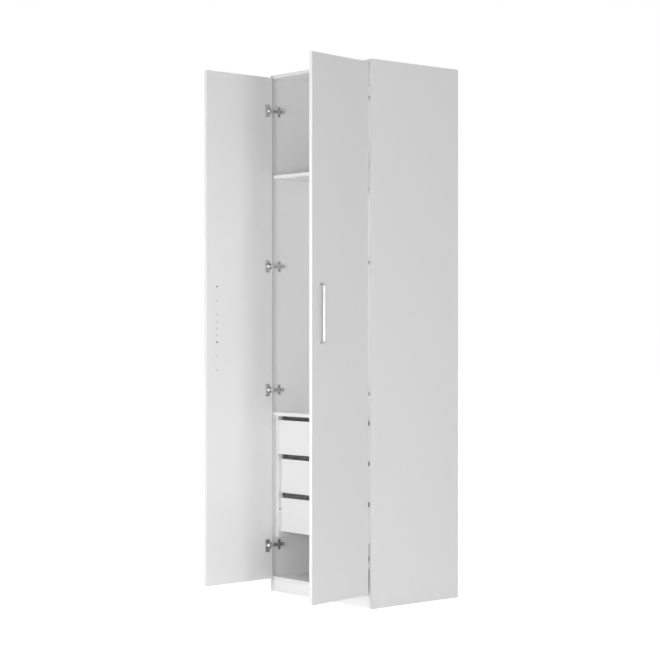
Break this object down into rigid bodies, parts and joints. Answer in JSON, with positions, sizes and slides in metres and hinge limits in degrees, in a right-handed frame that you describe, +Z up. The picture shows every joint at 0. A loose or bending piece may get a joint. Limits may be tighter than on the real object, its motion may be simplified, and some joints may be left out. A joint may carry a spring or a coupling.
{
  "type": "wardrobe",
  "caption": "Tall free-standing wardrobe with hinged plain doors, bar handles, upper shelf, clothes rail and a recessed internal drawer unit above an open shoe space.",
  "frame": {"origin": "centre of the carcass footprint, on the floor", "axes": "+Z up, +X to the right seen from the front, the doors are on the -Y side"},
  "size_m": [0.8344, 0.8998, 2.444],
  "materials": {
    "white_board": "white melamine-faced board, fine satin grain",
    "white_back": "white lacquered hardboard",
    "drawer_grey": "dark grey board with a woven print",
    "beech": "plain turned beech",
    "zinc_steel": "bright zinc or nickel plated",
    "dark_zinc": "dark passivated zinc",
    "black_steel": "blackened",
    "satin_metal": "satin, straight brushed",
    "rail_chrome": "polished",
    "plastic": "moulded, white"
  },
  "bodies": {
    "carcass": {"back_lower": "white_back", "back_screws": "dark_zinc", "back_upper": "white_back", "bottom_board": "white_board", "cam_bolts": "zinc_steel", "cam_discs": "zinc_steel", "centre_foot": "plastic", "clothes_rail": "rail_chrome", "dowels": "beech", "fixed_runners": "zinc_steel", "hinge_arms_left": "zinc_steel", "hinge_arms_right": "zinc_steel", "hinge_plates_left": "zinc_steel", "hinge_plates_right": "zinc_steel", "hinge_screws": "dark_zinc", "plinth_front": "white_board", "plinth_rear": "white_board", "rail_sockets": "plastic", "shelf_pins": "plastic", "side_left": "white_board", "side_right": "white_board", "top_board": "white_board", "unit_cross_bars": "drawer_grey", "unit_screws": "black_steel", "unit_side_left": "white_board", "unit_side_right": "white_board", "unit_top": "white_board", "upper_shelf": "white_board", "wall_bracket": "zinc_steel", "wood_screws": "dark_zinc"},
    "left_door": {"door_left": "white_board", "hinge_cups_left": "zinc_steel", "cup_screws_left": "dark_zinc", "handle_left": "satin_metal", "handle_screws_left": "dark_zinc"},
    "right_door": {"door_right": "white_board", "hinge_cups_right": "zinc_steel", "cup_screws_right": "dark_zinc", "handle_right": "satin_metal", "handle_screws_right": "dark_zinc"},
    "left_links": {"hinge_links_left": "zinc_steel"},
    "right_links": {"hinge_links_right": "zinc_steel"},
    "drawer_top": {"drawer_1_back": "drawer_grey", "drawer_1_floor": "drawer_grey", "drawer_1_front": "white_board", "drawer_1_runners": "zinc_steel", "drawer_1_side_left": "drawer_grey", "drawer_1_side_right": "drawer_grey"},
    "drawer_middle": {"drawer_2_back": "drawer_grey", "drawer_2_floor": "drawer_grey", "drawer_2_front": "white_board", "drawer_2_runners": "zinc_steel", "drawer_2_side_left": "drawer_grey", "drawer_2_side_right": "drawer_grey"},
    "drawer_low": {"drawer_3_back": "drawer_grey", "drawer_3_floor": "drawer_grey", "drawer_3_front": "white_board", "drawer_3_runners": "zinc_steel", "drawer_3_side_left": "drawer_grey", "drawer_3_side_right": "drawer_grey"}
  },
  "joints": [
    {"name": "left_door_hinge", "type": "hinge", "parent": "carcass", "child": "left_door", "pos_m": [-0.36896, -0.2755, 1.247], "axis": [0, 0, -1], "range_deg": [-88.5, 21.5]},
    {"name": "right_door_hinge", "type": "hinge", "parent": "carcass", "child": "right_door", "pos_m": [0.36896, -0.2755, 1.247], "axis": [0, 0, 1], "range_deg": [-101.5, 8.5]},
    {"name": "left_link_turn", "type": "hinge", "parent": "carcass", "child": "left_links", "pos_m": [-0.36896, -0.2755, 1.247], "axis": [0, 0, -1], "range_deg": [-40, 10]},
    {"name": "right_link_turn", "type": "hinge", "parent": "carcass", "child": "right_links", "pos_m": [0.36896, -0.2755, 1.247], "axis": [0, 0, 1], "range_deg": [-46, 4]},
    {"name": "drawer_top_slide", "type": "slide", "parent": "carcass", "child": "drawer_top", "axis": [0, -1, 0], "range_m": [-0.0165, 0.2835]},
    {"name": "drawer_middle_slide", "type": "slide", "parent": "carcass", "child": "drawer_middle", "axis": [0, -1, 0], "range_m": [0, 0.3]},
    {"name": "drawer_low_slide", "type": "slide", "parent": "carcass", "child": "drawer_low", "axis": [0, -1, 0], "range_m": [0, 0.3]}
  ],
  "couplings": [
    {"joint": "left_link_turn", "follows": "left_door_hinge", "ratio": 0.45},
    {"joint": "right_link_turn", "follows": "right_door_hinge", "ratio": 0.45}
  ]
}
